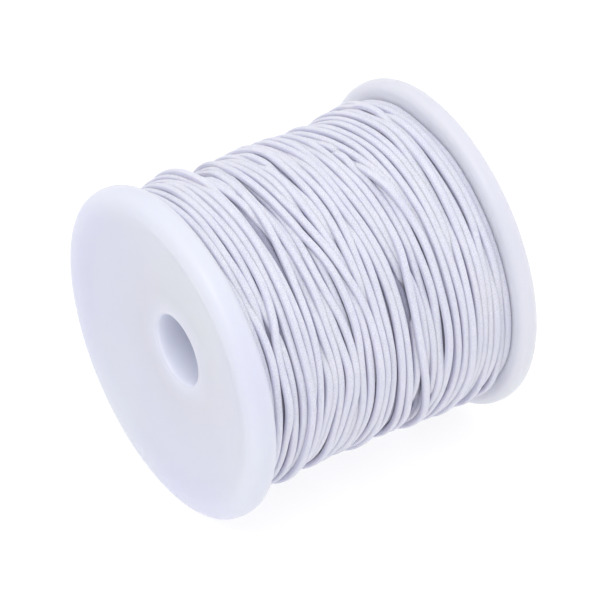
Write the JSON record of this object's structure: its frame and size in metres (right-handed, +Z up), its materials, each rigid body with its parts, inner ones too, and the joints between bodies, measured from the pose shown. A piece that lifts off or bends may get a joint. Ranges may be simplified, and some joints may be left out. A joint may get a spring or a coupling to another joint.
{
  "type": "roll of elastic cord on a spool",
  "caption": "Small white plastic spool wound full of thin round elastic cord, lying on its side.",
  "frame": {"origin": "middle of the two small flat feet on which the roll lies, at the surface", "axes": "+X along the spool's axis, +Z up, -Y towards the front"},
  "size_m": [0.0422, 0.044, 0.0436],
  "materials": {
    "plastic": "milky satin",
    "cord": "fine braided textile cover"
  },
  "bodies": {
    "root": {"spool_near": "plastic", "spool_far": "plastic", "winding": "cord"}
  },
  "joints": []
}
